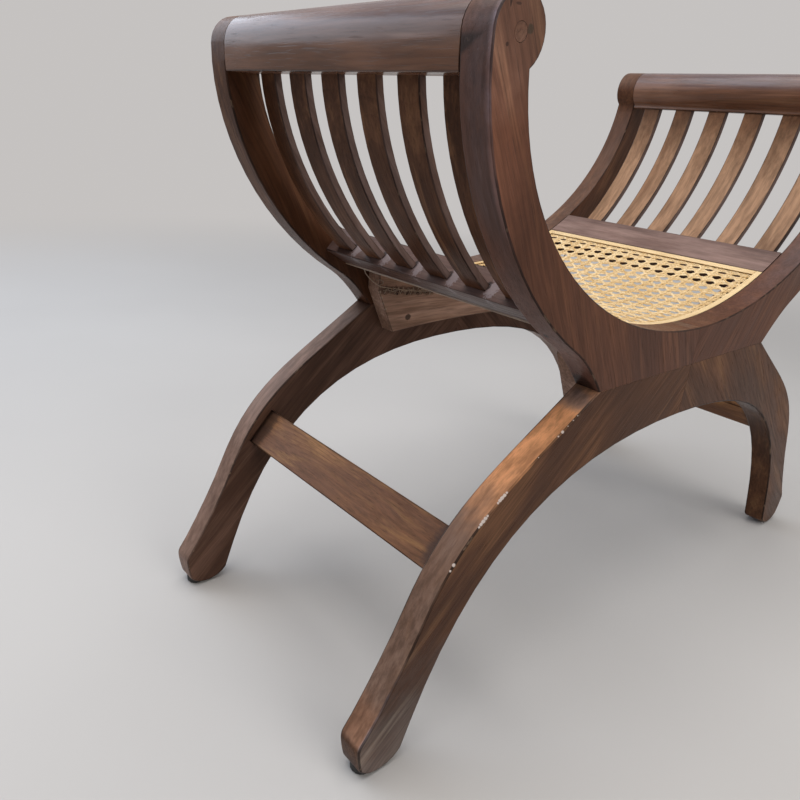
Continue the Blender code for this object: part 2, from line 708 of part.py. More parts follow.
def main():
    start_scene()
    arm_wood = finish("arm_teak", (0.125, 0.060, 0.038), 0.38)
    leg_wood = finish("leg_teak", (0.170, 0.085, 0.045), 0.40)
    rail_wood = finish("rail_teak", (0.120, 0.062, 0.042), 0.30)
    slat_wood = finish("slat_teak", (0.080, 0.042, 0.028), 0.40)
    dowel_wood = finish("dowel_wood", (0.220, 0.120, 0.060), 0.60)
    cane = finish("cane", (0.720, 0.540, 0.290), 0.45)
    steel = finish("screw_steel", (0.450, 0.430, 0.400), 0.40, 1.0)
    rubber = finish("glide_rubber", (0.015, 0.015, 0.015), 0.70)

    arms, legs = make_frames(arm_wood, leg_wood)
    top_rails, lower_rails = make_rails(rail_wood)
    make_slats(top_rails, lower_rails, slat_wood)
    make_stretchers(legs, leg_wood)
    cleats = make_seat(rail_wood, cane)
    make_frame_dowels(arms, legs, dowel_wood)
    make_rail_dowels(arms, top_rails, lower_rails, dowel_wood)
    make_cleat_screws(cleats, arms, steel)
    make_glides(legs, rubber)


main()
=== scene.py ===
"""Looks of the cane-seated curule stool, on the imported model."""
import math

import bmesh
import bpy
from mathutils import Matrix, Vector


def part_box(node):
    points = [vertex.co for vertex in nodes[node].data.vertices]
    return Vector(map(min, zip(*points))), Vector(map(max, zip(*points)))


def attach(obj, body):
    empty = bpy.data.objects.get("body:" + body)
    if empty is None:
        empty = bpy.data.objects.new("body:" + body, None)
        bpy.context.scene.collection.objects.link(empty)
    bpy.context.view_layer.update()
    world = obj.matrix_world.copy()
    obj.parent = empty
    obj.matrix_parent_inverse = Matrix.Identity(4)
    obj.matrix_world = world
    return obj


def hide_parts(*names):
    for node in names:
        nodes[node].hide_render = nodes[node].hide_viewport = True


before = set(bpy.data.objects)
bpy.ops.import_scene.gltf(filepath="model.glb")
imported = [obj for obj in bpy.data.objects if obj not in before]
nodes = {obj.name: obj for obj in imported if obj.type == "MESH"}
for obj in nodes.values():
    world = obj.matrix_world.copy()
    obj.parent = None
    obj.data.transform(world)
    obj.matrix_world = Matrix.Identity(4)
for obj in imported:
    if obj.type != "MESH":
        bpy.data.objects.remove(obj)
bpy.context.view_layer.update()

SIDES = {"left": -1, "right": 1}
FRAMES = {"front": -1, "back": 1}
SLATS = range(1, 7)

# Places on the solids, in metres from the middle of the stool and up from the floor
WAIST = 0.336            # joint between arms and legs
FRONT_FACE = -0.185      # outer face of the front frame
FRAME_INSIDE = 0.157     # inner faces of the frames
RAIL_ENDS = 0.1565       # corners of the rails beyond this are at their ends
TOP_RAIL_BOTTOM = 0.592
RAIL_MARGIN = 0.006      # below it, where an arm's inner edge is still fine
HOUSING_FLOOR = 0.1673   # of the stretchers' slots in the legs
TOE_REACH = 0.4325
TOE_HEIGHT = 0.042
TOE_SPREAD = 0.002
CLEAT_FACE = 0.1347      # inner faces of the cleats
SLAT_PITCH = 0.0505
SEAT_HALF_WIDTH = 0.338  # the seat curve is the lower half of an ellipse
SEAT_SAG = 0.242
SEAT_RIM = 0.619

# Radii of the eased edges
TOE_EDGE = 0.0045
BOARD_EDGE = 0.0020
BAR_EDGE = 0.0016
LEDGE_EDGE = 0.0014
SLAT_EDGE = 0.0012
CLEAT_EDGE = 0.0010
FINE_EDGE = 0.0004       # on the binders, and where a top rail meets an arm
SLOT_EDGE = 0.0002

# Limits for telling points and edges apart
ONE_POINT = 0.00001      # points nearer than this are merged
AT_FACE = 0.0003         # of a screw's head
AT_POINT = 0.0005
AT_JOINT = 0.001
LEVEL = math.radians(0.6)  # faces that turn by less make one flat face
SHARP = math.radians(35)   # edges that turn by more are eased
FOLDED = math.radians(18)  # strips that turn by more meet in the middle of an eased edge


# Selecting, opening and finishing a piece

def choose(piece):
    bpy.ops.object.select_all(action="DESELECT")
    piece.select_set(True)
    bpy.context.view_layer.objects.active = piece


def open_mesh(piece, kind):
    choose(piece)
    bpy.ops.object.mode_set(mode="EDIT")
    bpy.ops.mesh.select_mode(type=kind)
    return bmesh.from_edit_mesh(piece.data)


def close_mesh(piece):
    bmesh.update_edit_mesh(piece.data)
    bpy.ops.object.mode_set(mode="OBJECT")


def apply_step(piece, kind, **settings):
    choose(piece)
    step = piece.modifiers.new(kind.lower(), kind)
    for name, value in settings.items():
        setattr(step, name, value)
    bpy.ops.object.modifier_apply(modifier=step.name)


def smooth(piece, degrees=40):
    choose(piece)
    bpy.ops.object.shade_smooth_by_angle(angle=math.radians(degrees))


def settle(piece, material, *replaced):
    """Finish a piece: its material, and the nodes that it stands for."""
    piece.data.materials.clear()
    piece.data.materials.append(material)
    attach(piece, "root")
    if replaced:
        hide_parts(*replaced)


# Boards: merged copies of the solids with their edges eased

def take_board(node, name):
    """A copy of a solid, with its flat faces in one piece again."""
    board = bpy.data.objects.new(name, nodes[node].data.copy())
    bpy.context.scene.collection.objects.link(board)
    board.data.materials.clear()
    board.data.materials.append(None)
    board.data.materials.append(None)  # only marks the faces that an eased edge adds
    open_mesh(board, "VERT")
    bpy.ops.mesh.select_all(action="SELECT")
    bpy.ops.mesh.remove_doubles(threshold=ONE_POINT)
    bpy.ops.mesh.dissolve_limited(angle_limit=LEVEL)
    close_mesh(board)
    return board


def everywhere(first, last):
    return True


def ease_edges(board, radius, steps, wanted, holes=()):
    """Round the board's sharp edges that are wanted, outside the holes for other nodes.

    The vertices on the rounded strips get an edge mark, which the teak's dark lines read.
    """
    boxes = [tuple(Vector(corner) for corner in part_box(node)) for node in holes]

    def in_hole(spot):
        return any(all(low[i] - AT_JOINT < spot[i] < high[i] + AT_JOINT for i in range(3))
                   for low, high in boxes)

    mesh = open_mesh(board, "EDGE")
    bpy.ops.mesh.select_all(action="DESELECT")
    for edge in mesh.edges:
        ends = [corner.co for corner in edge.verts]
        sharp = (len(edge.link_faces) == 2 and edge.is_convex
                 and edge.calc_face_angle() > SHARP)
        edge.select_set(bool(sharp and wanted(*ends) and not all(map(in_hole, ends))))
    bmesh.update_edit_mesh(board.data)
    bpy.ops.mesh.bevel(offset=radius, segments=steps, profile=0.5, affect="EDGES",
                       clamp_overlap=True, material=1)
    mesh = bmesh.from_edit_mesh(board.data)
    mark = mesh.verts.layers.float.get("edge") or mesh.verts.layers.float.new("edge")
    for corner in mesh.verts:
        rounded = [face for face in corner.link_faces if face.material_index == 1]
        flat = len(corner.link_faces) - len(rounded)
        folded = (len(rounded) == 2
                  and rounded[0].normal.angle(rounded[1].normal, 0) > FOLDED)
        if rounded and (flat == 0 or flat == 1 and folded):
            corner[mark] = 1.0
    for face in mesh.faces:
        face.material_index = 0
    bmesh.update_edit_mesh(board.data)
    bpy.ops.mesh.select_all(action="SELECT")
    bpy.ops.mesh.dissolve_degenerate(threshold=ONE_POINT)
    close_mesh(board)


def flatten_shading(board):
    smooth(board)
    apply_step(board, "WEIGHTED_NORMAL", keep_sharp=True, weight=80)


def lay_grain(board, along, face, shift=(0, 0, 0), heart=None):
    """Write the board's own grain space: along the grain, across it and through the plank.

    The growth rings run round the line along the grain through the heart, where one is given.
    """
    along = Vector(along).normalized()
    face = (Vector(face) - along * along.dot(Vector(face))).normalized()
    turn = Matrix((along, face.cross(along), face))
    shift = Vector(shift) if heart is None else -(turn @ Vector(heart))
    space = board.data.attributes.new("grain", "FLOAT_VECTOR", "POINT")
    for corner, spot in zip(board.data.vertices, space.data):
        spot.vector = turn @ corner.co + shift


# Shader nodes

def feed(tree, made, sockets):
    """Set or link a node's inputs."""
    for key, value in sockets.items():
        if isinstance(value, bpy.types.NodeSocket):
            tree.links.new(value, made.inputs[key])
        else:
            made.inputs[key].default_value = value


def add(tree, kind, sockets=None, **settings):
    made = tree.nodes.new(kind)
    for name, value in settings.items():
        setattr(made, name, value)
    feed(tree, made, sockets or {})
    return made


def maths(tree, operation, *values):
    return add(tree, "ShaderNodeMath", dict(enumerate(values)), operation=operation).outputs[0]


def multiply(tree, first, second):
    return maths(tree, "MULTIPLY", first, second)


def vector_maths(tree, operation, *values, output="Vector"):
    return add(tree, "ShaderNodeVectorMath", dict(enumerate(values)),
               operation=operation).outputs[output]


def stretch(tree, vector, amounts):
    return vector_maths(tree, "MULTIPLY", vector, amounts)


def noise(tree, vector, detail=2.0, roughness=0.5, scale=1.0, output="Fac"):
    return add(tree, "ShaderNodeTexNoise", {"Vector": vector, "Scale": scale, "Detail": detail,
                                            "Roughness": roughness}).outputs[output]


def ramp(tree, value, low, high, to_low=0.0, to_high=1.0):
    return add(tree, "ShaderNodeMapRange", {"Value": value, "From Min": low, "From Max": high,
                                            "To Min": to_low, "To Max": to_high},
               interpolation_type="SMOOTHSTEP").outputs[0]


def mix(tree, factor, first, second, blend="MIX"):
    return add(tree, "ShaderNodeMix", {0: factor, 6: first, 7: second}, data_type="RGBA",
               blend_type=blend).outputs[2]


def attribute(tree, name, output):
    return add(tree, "ShaderNodeAttribute", attribute_name=name).outputs[output]


def place_on_object(tree):
    return add(tree, "ShaderNodeTexCoord").outputs["Object"]


def new_group(name, inputs, outputs):
    """An empty shader node group with named sockets."""
    group = bpy.data.node_groups.new(name, "ShaderNodeTree")
    for label, kind, value in inputs:
        socket = group.interface.new_socket(label, in_out="INPUT", socket_type="NodeSocket" + kind)
        if value is not None:
            socket.default_value = value
    for label, kind in outputs:
        group.interface.new_socket(label, in_out="OUTPUT", socket_type="NodeSocket" + kind)
    return group, group.nodes.new("NodeGroupInput").outputs, group.nodes.new("NodeGroupOutput")


def new_material(name):
    material = bpy.data.materials.new(name)
    material.use_nodes = True
    return material, material.node_tree, material.node_tree.nodes["Principled BSDF"]


# Shared effects. Stretches are per metre: along the grain, across it and through the plank.

BROWN = (0.1, 0.05, 0.03, 1)


def teak_figure():
    """Growth rings, fibres, pores and uneven staining of teak, in the grain space of a board."""
    tree, given, result = new_group(
        "teak_figure",
        [("Grain", "Vector", None), ("Dark", "Color", (0.03, 0.015, 0.01, 1)),
         ("Middle", "Color", BROWN), ("Light", "Color", (0.2, 0.1, 0.05, 1)),
         ("Rings", "Float", 0.5), ("Stain", "Float", 0.5), ("Closeness", "Float", 46.0)],
        [("Colour", "Color"), ("Roughness", "Float"), ("Height", "Float")])
    grain = given["Grain"]
    sway = noise(tree, stretch(tree, grain, (4.0, 17.0, 17.0)), output="Color")
    sway = vector_maths(tree, "SUBTRACT", sway, (0.5, 0.5, 0.5))
    bent = vector_maths(tree, "ADD", stretch(tree, sway, (0.0, 0.022, 0.022)), grain)
    rings = add(tree, "ShaderNodeTexWave",
                {"Vector": stretch(tree, bent, (0.14, 1.0, 1.0)), "Scale": given["Closeness"],
                 "Distortion": 1.6, "Detail": 3.0, "Detail Scale": 1.1, "Detail Roughness": 0.6},
                wave_type="RINGS", rings_direction="X", wave_profile="SAW").outputs["Fac"]
    fibres = noise(tree, stretch(tree, bent, (11.0, 330.0, 330.0)), 4.0, 0.65)
    streaks = noise(tree, stretch(tree, bent, (3.5, 75.0, 75.0)), 3.0, 0.6)
    pores = ramp(tree, noise(tree, stretch(tree, grain, (42.0, 900.0, 900.0)), 1.0), 0.60, 0.72)
    stain = noise(tree, stretch(tree, grain, (6.0, 15.0, 15.0)), 3.0, 0.6)

    base = mix(tree, ramp(tree, stain, 0.36, 0.66), given["Dark"], given["Middle"])
    stained = multiply(tree, ramp(tree, stain, 0.50, 0.74), given["Stain"])
    base = mix(tree, stained, base, given["Light"])
    ringed = multiply(tree, ramp(tree, rings, 0.55, 1.0), given["Rings"])
    base = mix(tree, ringed, base, given["Dark"])
    base = mix(tree, ramp(tree, streaks, 0.50, 0.70, 0.0, 0.62), base, given["Dark"])
    base = mix(tree, ramp(tree, streaks, 0.48, 0.30, 0.0, 0.50), base, given["Light"])
    shade = ramp(tree, fibres, 0.30, 0.70, 0.78, 1.22)
    shade = add(tree, "ShaderNodeCombineColor", {0: shade, 1: shade, 2: shade}).outputs[0]
    base = mix(tree, 1.0, base, shade, "MULTIPLY")
    base = mix(tree, multiply(tree, pores, 0.28), base, (0.012, 0.007, 0.005, 1))
    rough = maths(tree, "ADD", ramp(tree, stain, 0.3, 0.7, 0.30, 0.44), multiply(tree, pores, 0.18))
    rough = maths(tree, "ADD", rough, ramp(tree, fibres, 0.3, 0.7, 0.05, -0.04))
    height = maths(tree, "SUBTRACT", multiply(tree, fibres, 0.5), multiply(tree, pores, 0.6))
    height = maths(tree, "ADD", height, multiply(tree, rings, 0.25))
    feed(tree, result, {"Colour": base, "Roughness": rough, "Height": height})
    return tree


def rubbed_edges():
    """Dark lines of old polish along the eased edges, rubbed through to pale wood in places."""
    tree, given, result = new_group(
        "rubbed_edges",
        [("Colour", "Color", BROWN), ("Edge", "Float", 0.0), ("Grain", "Vector", None),
         ("Grime", "Float", 0.5), ("Rubbed", "Float", 0.3), ("Bare", "Color", (0.45, 0.30, 0.20, 1))],
        [("Colour", "Color"), ("Rubbed", "Float")])
    ragged = noise(tree, stretch(tree, given["Grain"], (55.0, 160.0, 160.0)), 3.0, 0.65)
    broad = noise(tree, stretch(tree, given["Grain"], (14.0, 14.0, 14.0)))
    line = multiply(tree, ramp(tree, given["Edge"], 0.0, 0.5), ramp(tree, broad, 0.36, 0.58, 0.45, 1.0))
    line = multiply(tree, line, given["Grime"])
    dark = mix(tree, line, given["Colour"], (0.014, 0.008, 0.006, 1))
    both = maths(tree, "ADD", multiply(tree, ragged, 0.6), multiply(tree, broad, 0.4))
    bare = multiply(tree, ramp(tree, both, 0.56, 0.62), ramp(tree, given["Edge"], 0.3, 0.7))
    bare = multiply(tree, bare, given["Rubbed"])
    feed(tree, result, {"Colour": mix(tree, bare, dark, given["Bare"]), "Rubbed": bare})
    return tree


def painted_light_faces():
    """Painted light and sheen: faces that look one way pass, in clouds, to a paler haze."""
    tree, given, result = new_group(
        "painted_light_faces",
        [("Colour", "Color", BROWN), ("Facing", "Float", 0.0), ("Grain", "Vector", None),
         ("Amount", "Float", 0.3), ("Lit haze", "Color", (0.2, 0.15, 0.13, 1))],
        [("Colour", "Color")])
    cloud = noise(tree, stretch(tree, given["Grain"], (9.0, 30.0, 30.0)), 4.0, 0.65)
    cloud = ramp(tree, cloud, 0.30, 0.60, 0.55, 1.0)
    seen = multiply(tree, ramp(tree, given["Facing"], 0.05, 0.50), cloud)
    seen = multiply(tree, seen, given["Amount"])
    feed(tree, result, {"Colour": mix(tree, seen, given["Colour"], given["Lit haze"])})
    return tree


def ragged_spot(name, blend, outer, inner):
    """A ragged spot of another tone, with its edge between two shares of its half sizes."""
    tree, given, result = new_group(
        name,
        [("Colour", "Color", BROWN), ("Place", "Vector", None), ("Centre", "Vector", None),
         ("Size", "Vector", None), ("Tint", "Color", (0.02, 0.01, 0.01, 1)),
         ("Amount", "Float", 0.8), ("Ragged", "Float", 0.5), ("Fineness", "Float", 90.0)],
        [("Colour", "Color")])
    away = vector_maths(tree, "SUBTRACT", given["Place"], given["Centre"])
    away = vector_maths(tree, "DIVIDE", away, given["Size"])
    reach = vector_maths(tree, "LENGTH", away, output="Value")
    torn = maths(tree, "SUBTRACT", noise(tree, given["Place"], 4.0, 0.65, given["Fineness"]), 0.5)
    reach = maths(tree, "MULTIPLY_ADD", torn, multiply(tree, given["Ragged"], 2.0), reach)
    seen = multiply(tree, ramp(tree, reach, outer, inner), given["Amount"])
    feed(tree, result, {"Colour": mix(tree, seen, given["Colour"], given["Tint"], blend)})
    return tree


FIGURE = teak_figure()
EDGES = rubbed_edges()
PAINTED_LIGHT = painted_light_faces()
SPOT = ragged_spot("ragged_spot", "MIX", 1.1, 0.7)
TONE = ragged_spot("ragged_tone", "MULTIPLY", 1.25, 0.35)


def put_spots(tree, colour, place, spots, kind=SPOT):
    """Spots (centre, half sizes, tint, amount, raggedness, fineness) laid over a colour."""
    for centre, size, tint, amount, ragged, fineness in spots:
        spot = add(tree, "ShaderNodeGroup", node_tree=kind)
        feed(tree, spot, {"Colour": colour, "Place": place, "Centre": centre, "Size": size,
                          "Tint": (*tint, 1), "Amount": amount, "Ragged": ragged,
                          "Fineness": fineness})
        colour = spot.outputs["Colour"]
    return colour


# Materials

def shaded(colour, amount):
    return (*[part * amount for part in colour], 1)


def teak(name, dark, middle, light, rings=0.3, stain=0.4, grime=0.7, rubbed=0.2, closeness=46.0,
         lit_haze=(0.20, 0.15, 0.13), lit_fade=0.2, lit_facing="top", side_lit_haze=(0.16, 0.11, 0.10), side_lit_fade=0.0,
         shine=0.10, polish=0.0, relief=0.25, tones=(), spots=(), lit_tones=(), edge_spots=()):
    """Polished teak for boards that carry grain and edge attributes.

    Faces that look up, or out to the stool's ends, pass to the lit haze, and those that look across
    it to the side lit haze: painted light and sheen, tinted by the lit tones. Tones keep the
    figure of the wood, and spots cover it.
    """
    material, tree, shader = new_material(name)
    grain = attribute(tree, "grain", "Vector")
    place = place_on_object(tree)
    normal = add(tree, "ShaderNodeNewGeometry").outputs["Normal"]
    facing = add(tree, "ShaderNodeSeparateXYZ", {0: normal}).outputs
    across = maths(tree, "ABSOLUTE", facing["Y"])
    out = facing["Z"] if lit_facing == "top" else maths(tree, "ABSOLUTE", facing["X"])
    figure = add(tree, "ShaderNodeGroup", node_tree=FIGURE)
    feed(tree, figure, {"Grain": grain, "Dark": (*dark, 1), "Middle": (*middle, 1),
                        "Light": (*light, 1), "Rings": rings, "Stain": stain,
                        "Closeness": closeness})
    mottled = noise(tree, stretch(tree, grain, (16.0, 170.0, 170.0)), 4.0, 0.7)
    mottled = ramp(tree, mottled, 0.32, 0.68)
    colour = figure.outputs["Colour"]
    # painted light and sheen: faces turned up or out, and faces turned across, pass to paler hazes
    for way, cast, amount, toned in ((out, lit_haze, lit_fade, lit_tones),
                                     (across, side_lit_haze, side_lit_fade, ())):
        if amount:
            lit_tint = mix(tree, mottled, shaded(cast, 0.72), shaded(cast, 1.28))
            lit_tint = put_spots(tree, lit_tint, place, toned, TONE)
            lit_node = add(tree, "ShaderNodeGroup", node_tree=PAINTED_LIGHT)
            feed(tree, lit_node, {"Colour": colour, "Facing": way, "Grain": grain, "Amount": amount,
                               "Lit haze": lit_tint})
            colour = lit_node.outputs["Colour"]
    colour = put_spots(tree, colour, place, tones, TONE)
    colour = put_spots(tree, colour, place, spots)
    rubbing = add(tree, "ShaderNodeGroup", node_tree=EDGES)
    feed(tree, rubbing, {"Colour": colour, "Edge": attribute(tree, "edge", "Fac"), "Grain": grain,
                         "Grime": grime, "Rubbed": rubbed})
    colour = put_spots(tree, rubbing.outputs["Colour"], place, edge_spots)
    rough = maths(tree, "ADD", figure.outputs["Roughness"],
                  multiply(tree, rubbing.outputs["Rubbed"], 0.3))
    bump = add(tree, "ShaderNodeBump", {"Strength": relief, "Distance": 0.0006,
                                        "Height": figure.outputs["Height"]})
    feed(tree, shader, {"Base Color": colour, "Roughness": maths(tree, "SUBTRACT", rough, polish),
                        "Normal": bump.outputs["Normal"], "Specular IOR Level": shine})
    return material


def plain(name, colour, roughness, metallic=0.0):
    """A small fitting's surface, with a little unevenness."""
    material, tree, shader = new_material(name)
    spots = noise(tree, place_on_object(tree), 3.0, 0.6, 300.0)
    mottled = mix(tree, multiply(tree, spots, 0.3), (*colour, 1), shaded(colour, 0.4))
    feed(tree, shader, {"Base Color": mottled, "Metallic": metallic,
                        "Roughness": ramp(tree, spots, 0.3, 0.7, roughness - 0.1, roughness + 0.1)})
    return material


def cane_skin(name, deep, pale, fibre):
    """Split cane: each strand its own straw tone, with fine lengthwise fibres."""
    material, tree, shader = new_material(name)
    strand = attribute(tree, "strand", "Vector")
    number = add(tree, "ShaderNodeSeparateXYZ", {0: strand}).outputs["Y"]
    tone = add(tree, "ShaderNodeTexWhiteNoise", {"W": number}, noise_dimensions="1D").outputs["Value"]
    run = noise(tree, stretch(tree, strand, (22.0, 3.7, 0.0)))
    fibres = noise(tree, stretch(tree, strand, (40.0, 31.0, 2600.0)), 2.0, 0.6)
    both = maths(tree, "ADD", multiply(tree, tone, 0.55), multiply(tree, run, 0.5))
    colour = mix(tree, ramp(tree, both, 0.25, 0.85), (*deep, 1), (*pale, 1))
    colour = mix(tree, ramp(tree, fibres, 0.35, 0.75, 0.0, 0.45), colour, (*fibre, 1))
    bump = add(tree, "ShaderNodeBump", {"Strength": 0.2, "Distance": 0.0002, "Height": fibres})
    feed(tree, shader, {"Base Color": colour, "Normal": bump.outputs["Normal"],
                        "Roughness": ramp(tree, fibres, 0.3, 0.7, 0.30, 0.46)})
    return material


# Marks of use, painted light and painted shade, at their places on the stool: spots as put_spots takes
# them

# near black: painted shade in holes, and the dark of cracks, corners and a knot
NEAR_BLACK = (0.016, 0.009, 0.008)
GREY_FILL = (0.27, 0.225, 0.235)
CHIPPED = (0.62, 0.53, 0.48)
CORNERS = [(side, end) for side in SIDES.values() for end in FRAMES.values()]
SLAT_PLACES = [(side, (place - 2.5) * SLAT_PITCH) for side in SIDES.values() for place in range(6)]

# on the near arm and its plug
end_checks = [
    ((-0.3425, FRONT_FACE, 0.6195), (0.0034, 0.003, 0.0030), (0.045, 0.034, 0.022), 0.75, 0.5, 300),
    ((-0.3640, FRONT_FACE, 0.6330), (0.0010, 0.003, 0.0042), NEAR_BLACK, 0.75, 0.5, 300),
    ((-0.3565, FRONT_FACE, 0.6320), (0.0030, 0.003, 0.0009), NEAR_BLACK, 0.6, 0.5, 300),
    ((-0.3625, FRONT_FACE, 0.6090), (0.0014, 0.003, 0.0014), NEAR_BLACK, 0.7, 0.3, 300)]
nail_hole = [((-0.2404, -0.1657, 0.3959), (0.0032, 0.0032, 0.0032), NEAR_BLACK, 0.95, 0.1, 200)]
warm_arm = [
    ((-0.395, FRONT_FACE, 0.515), (0.075, 0.006, 0.140), (2.40, 2.55, 2.75), 0.9, 0.5, 18),
    ((-0.360, FRONT_FACE, 0.622), (0.085, 0.006, 0.050), (1.45, 1.80, 2.15), 0.9, 0.5, 30)]
# they tint the arm's painted sheen: browner below and at the back of the outer face, paler near the
# waist
brown_below = [
    ((-0.300, -0.170, 0.390), (0.300, 0.300, 0.120), (1.15, 0.84, 0.66), 0.95, 0.4, 20),
    ((-0.400, -0.150, 0.500), (9.000, 0.019, 9.000), (1.10, 0.80, 0.62), 0.95, 0.4, 20),
    ((-0.202, -0.175, 0.380), (0.040, 0.040, 0.030), (1.70, 1.75, 1.70), 0.9, 0.4, 30)]
# painted shade on the arm's underside, just above the leg's top at the waist
waist_shade = [
    ((-0.166, -0.1665, WAIST), (0.020, 0.0165, 0.026), (0.022, 0.011, 0.008), 0.9, 0.3, 60)]

# on the near leg
# the leg's haze made darker and bluer at the waist
waist_darker_bluer = [((-0.182, -0.170, 0.326), (0.016, 0.03, 0.014), (0.32, 0.45, 0.75), 0.9, 0.5, 70)]
# partly a worn patch, partly painted light: the leg's haze turns brighter orange near the waist
worn_and_lit_orange = [((-0.232, -0.17, 0.300), (0.098, 0.09, 0.098), (3.60, 2.60, 1.60), 0.95, 0.6, 22)]
warm_toe = [((-0.424, -0.170, 0.058), (0.030, 0.050, 0.030), (1.35, 1.12, 0.95), 0.9, 0.5, 40)]
scuffed_foot = [
    ((-0.400, -0.186, -0.030), (0.300, 0.004, 0.150), (1.50, 2.60, 4.60), 0.95, 0.5, 30)]
leg_chips = [
    ((x, -0.1845, z), (size, size, size), CHIPPED, 0.95, 0.35, 420) for x, z, size in (
        (-0.1961, 0.3181, 0.0009), (-0.2016, 0.3147, 0.0010), (-0.2084, 0.3104, 0.0009),
        (-0.2153, 0.3060, 0.0018), (-0.2205, 0.3027, 0.0010), (-0.2450, 0.2874, 0.0009),
        (-0.2827, 0.2622, 0.0014), (-0.2853, 0.2603, 0.0020), (-0.2878, 0.2585, 0.0022),
        (-0.2903, 0.2566, 0.0020), (-0.2928, 0.2547, 0.0014), (-0.3043, 0.2453, 0.0014),
        (-0.3067, 0.2433, 0.0020), (-0.3092, 0.2411, 0.0022), (-0.3115, 0.2389, 0.0019),
        (-0.3138, 0.2367, 0.0013), (-0.3402, 0.2067, 0.0019), (-0.3437, 0.2018, 0.0013))]

# on the lower rails, stretchers and cleats
slat_roots = [
    ((side * 0.2330, y - 0.0195, 0.4185), (0.0115, 0.0066, 0.014), GREY_FILL, 0.68, 1.1, 420)
    for side, y in SLAT_PLACES]
slat_corners = [
    ((side * 0.2335, y - 0.0125, 0.4215), (0.006, 0.0035, 0.006), NEAR_BLACK, 0.8, 0.5, 200)
    for side, y in SLAT_PLACES]
# painted light: the ledges' up-facing haze made paler still
lit_ledge = [
    ((side * 0.193, 0.0, 0.42), (0.031, 0.3, 0.06), (2.4, 2.4, 2.3), 0.95, 0.3, 25)
    for side in SIDES.values()]
# painted shade on the stretchers' ends, where they go into the legs
bar_end_shade = [
    ((side * 0.319, end * 0.165, 0.193), (0.06, 0.026, 0.06), (0.050, 0.032, 0.028), 0.75, 0.5, 40)
    for side, end in CORNERS]
lacing_shade = [
    ((side * (0.164 - 0.0155 * step), end * CLEAT_FACE, 0.3605 - 0.0018 * step),
     (0.0115, 0.004, 0.0062), (0.055, 0.034, 0.026), 0.7, 0.7, 240)
    for side, end in CORNERS for step in range(6)]
cleat_knot = [((-0.121, CLEAT_FACE, 0.3202), (0.0055, 0.02, 0.0045), NEAR_BLACK, 0.8, 0.25, 150)]
lacing_holes = [
    ((side * x, end * CLEAT_FACE, z), (0.0019, 0.0019, 0.0016), NEAR_BLACK, 0.95, 0.2, 300)
    for side, end in CORNERS
    for x, z in ((0.1433, 0.3531), (0.1268, 0.3514), (0.1076, 0.3528), (0.0930, 0.3506))]
glue_ticks = [
    ((-x, CLEAT_FACE, z), (0.0018, 0.003, 0.0018), (0.36, 0.27, 0.21), 0.7, 0.4, 300)
    for x, z in ((0.1726, 0.3585), (0.1690, 0.3510), (0.1655, 0.3430), (0.1610, 0.3350))]

# painted sheen: the arm's faces that look out to the ends pass to a purple-grey haze
arm_teak = teak(
    "arm_teak", (0.074, 0.028, 0.015), (0.100, 0.039, 0.021), (0.155, 0.064, 0.032), grime=0.85,
    lit_haze=(0.092, 0.063, 0.063), lit_fade=0.65, lit_facing="ends", shine=0.14, tones=warm_arm,
    lit_tones=brown_below, spots=nail_hole + end_checks + waist_shade)
# painted light: a copy of the front arms' teak with its tones set for the light at the back
back_arm_teak = teak(
    "back_arm_teak", (0.066, 0.026, 0.013), (0.114, 0.048, 0.024), (0.176, 0.084, 0.042), grime=0.8)
# painted light: the leg's up-facing faces pass to an orange-brown haze
leg_teak = teak(
    "leg_teak", (0.062, 0.025, 0.012), (0.114, 0.050, 0.025), (0.185, 0.090, 0.042), rings=0.35,
    stain=0.5, grime=0.9, rubbed=0.25, lit_haze=(0.215, 0.135, 0.100), lit_fade=0.9, tones=scuffed_foot,
    lit_tones=worn_and_lit_orange + waist_darker_bluer + warm_toe, edge_spots=leg_chips)
# painted light: a copy of the front legs' teak set for the light at the back; faces that look out pass
# to a pale haze
back_leg_teak = teak(
    "back_leg_teak", (0.068, 0.033, 0.021), (0.120, 0.063, 0.043), (0.175, 0.095, 0.066), grime=0.8,
    rubbed=0.3, lit_haze=(0.250, 0.158, 0.122), lit_fade=0.8, lit_facing="ends")
bar_teak = teak(
    "bar_teak", (0.140, 0.058, 0.026), (0.238, 0.107, 0.045), (0.345, 0.170, 0.062), rings=0.65,
    stain=0.9, grime=0.6, closeness=80.0, lit_fade=0.1, spots=bar_end_shade)
# painted reflection: the rails' up-facing faces pass to a blue-grey haze, the window's sheen
rail_teak = teak(
    "rail_teak", (0.118, 0.053, 0.030), (0.175, 0.085, 0.052), (0.235, 0.120, 0.074),
    lit_haze=(0.11, 0.12, 0.16), lit_fade=0.4, shine=0.26, polish=0.14, relief=0.08)
# painted light: the ledges' up-facing faces pass to a pale grey-pink haze
ledge_teak = teak(
    "ledge_teak", (0.064, 0.031, 0.023), (0.098, 0.052, 0.041), (0.145, 0.084, 0.066),
    lit_haze=(0.140, 0.096, 0.088), lit_fade=0.5, spots=slat_roots + slat_corners, lit_tones=lit_ledge)
# painted light on the slats' up-facing faces, and painted highlights on their narrow sides
slat_teak = teak(
    "slat_teak", (0.058, 0.023, 0.011), (0.110, 0.048, 0.025), (0.190, 0.088, 0.042), stain=0.7,
    grime=0.8, lit_haze=(0.330, 0.195, 0.118), lit_fade=0.85, side_lit_haze=(0.165, 0.118, 0.108),
    side_lit_fade=0.75, shine=0.06)
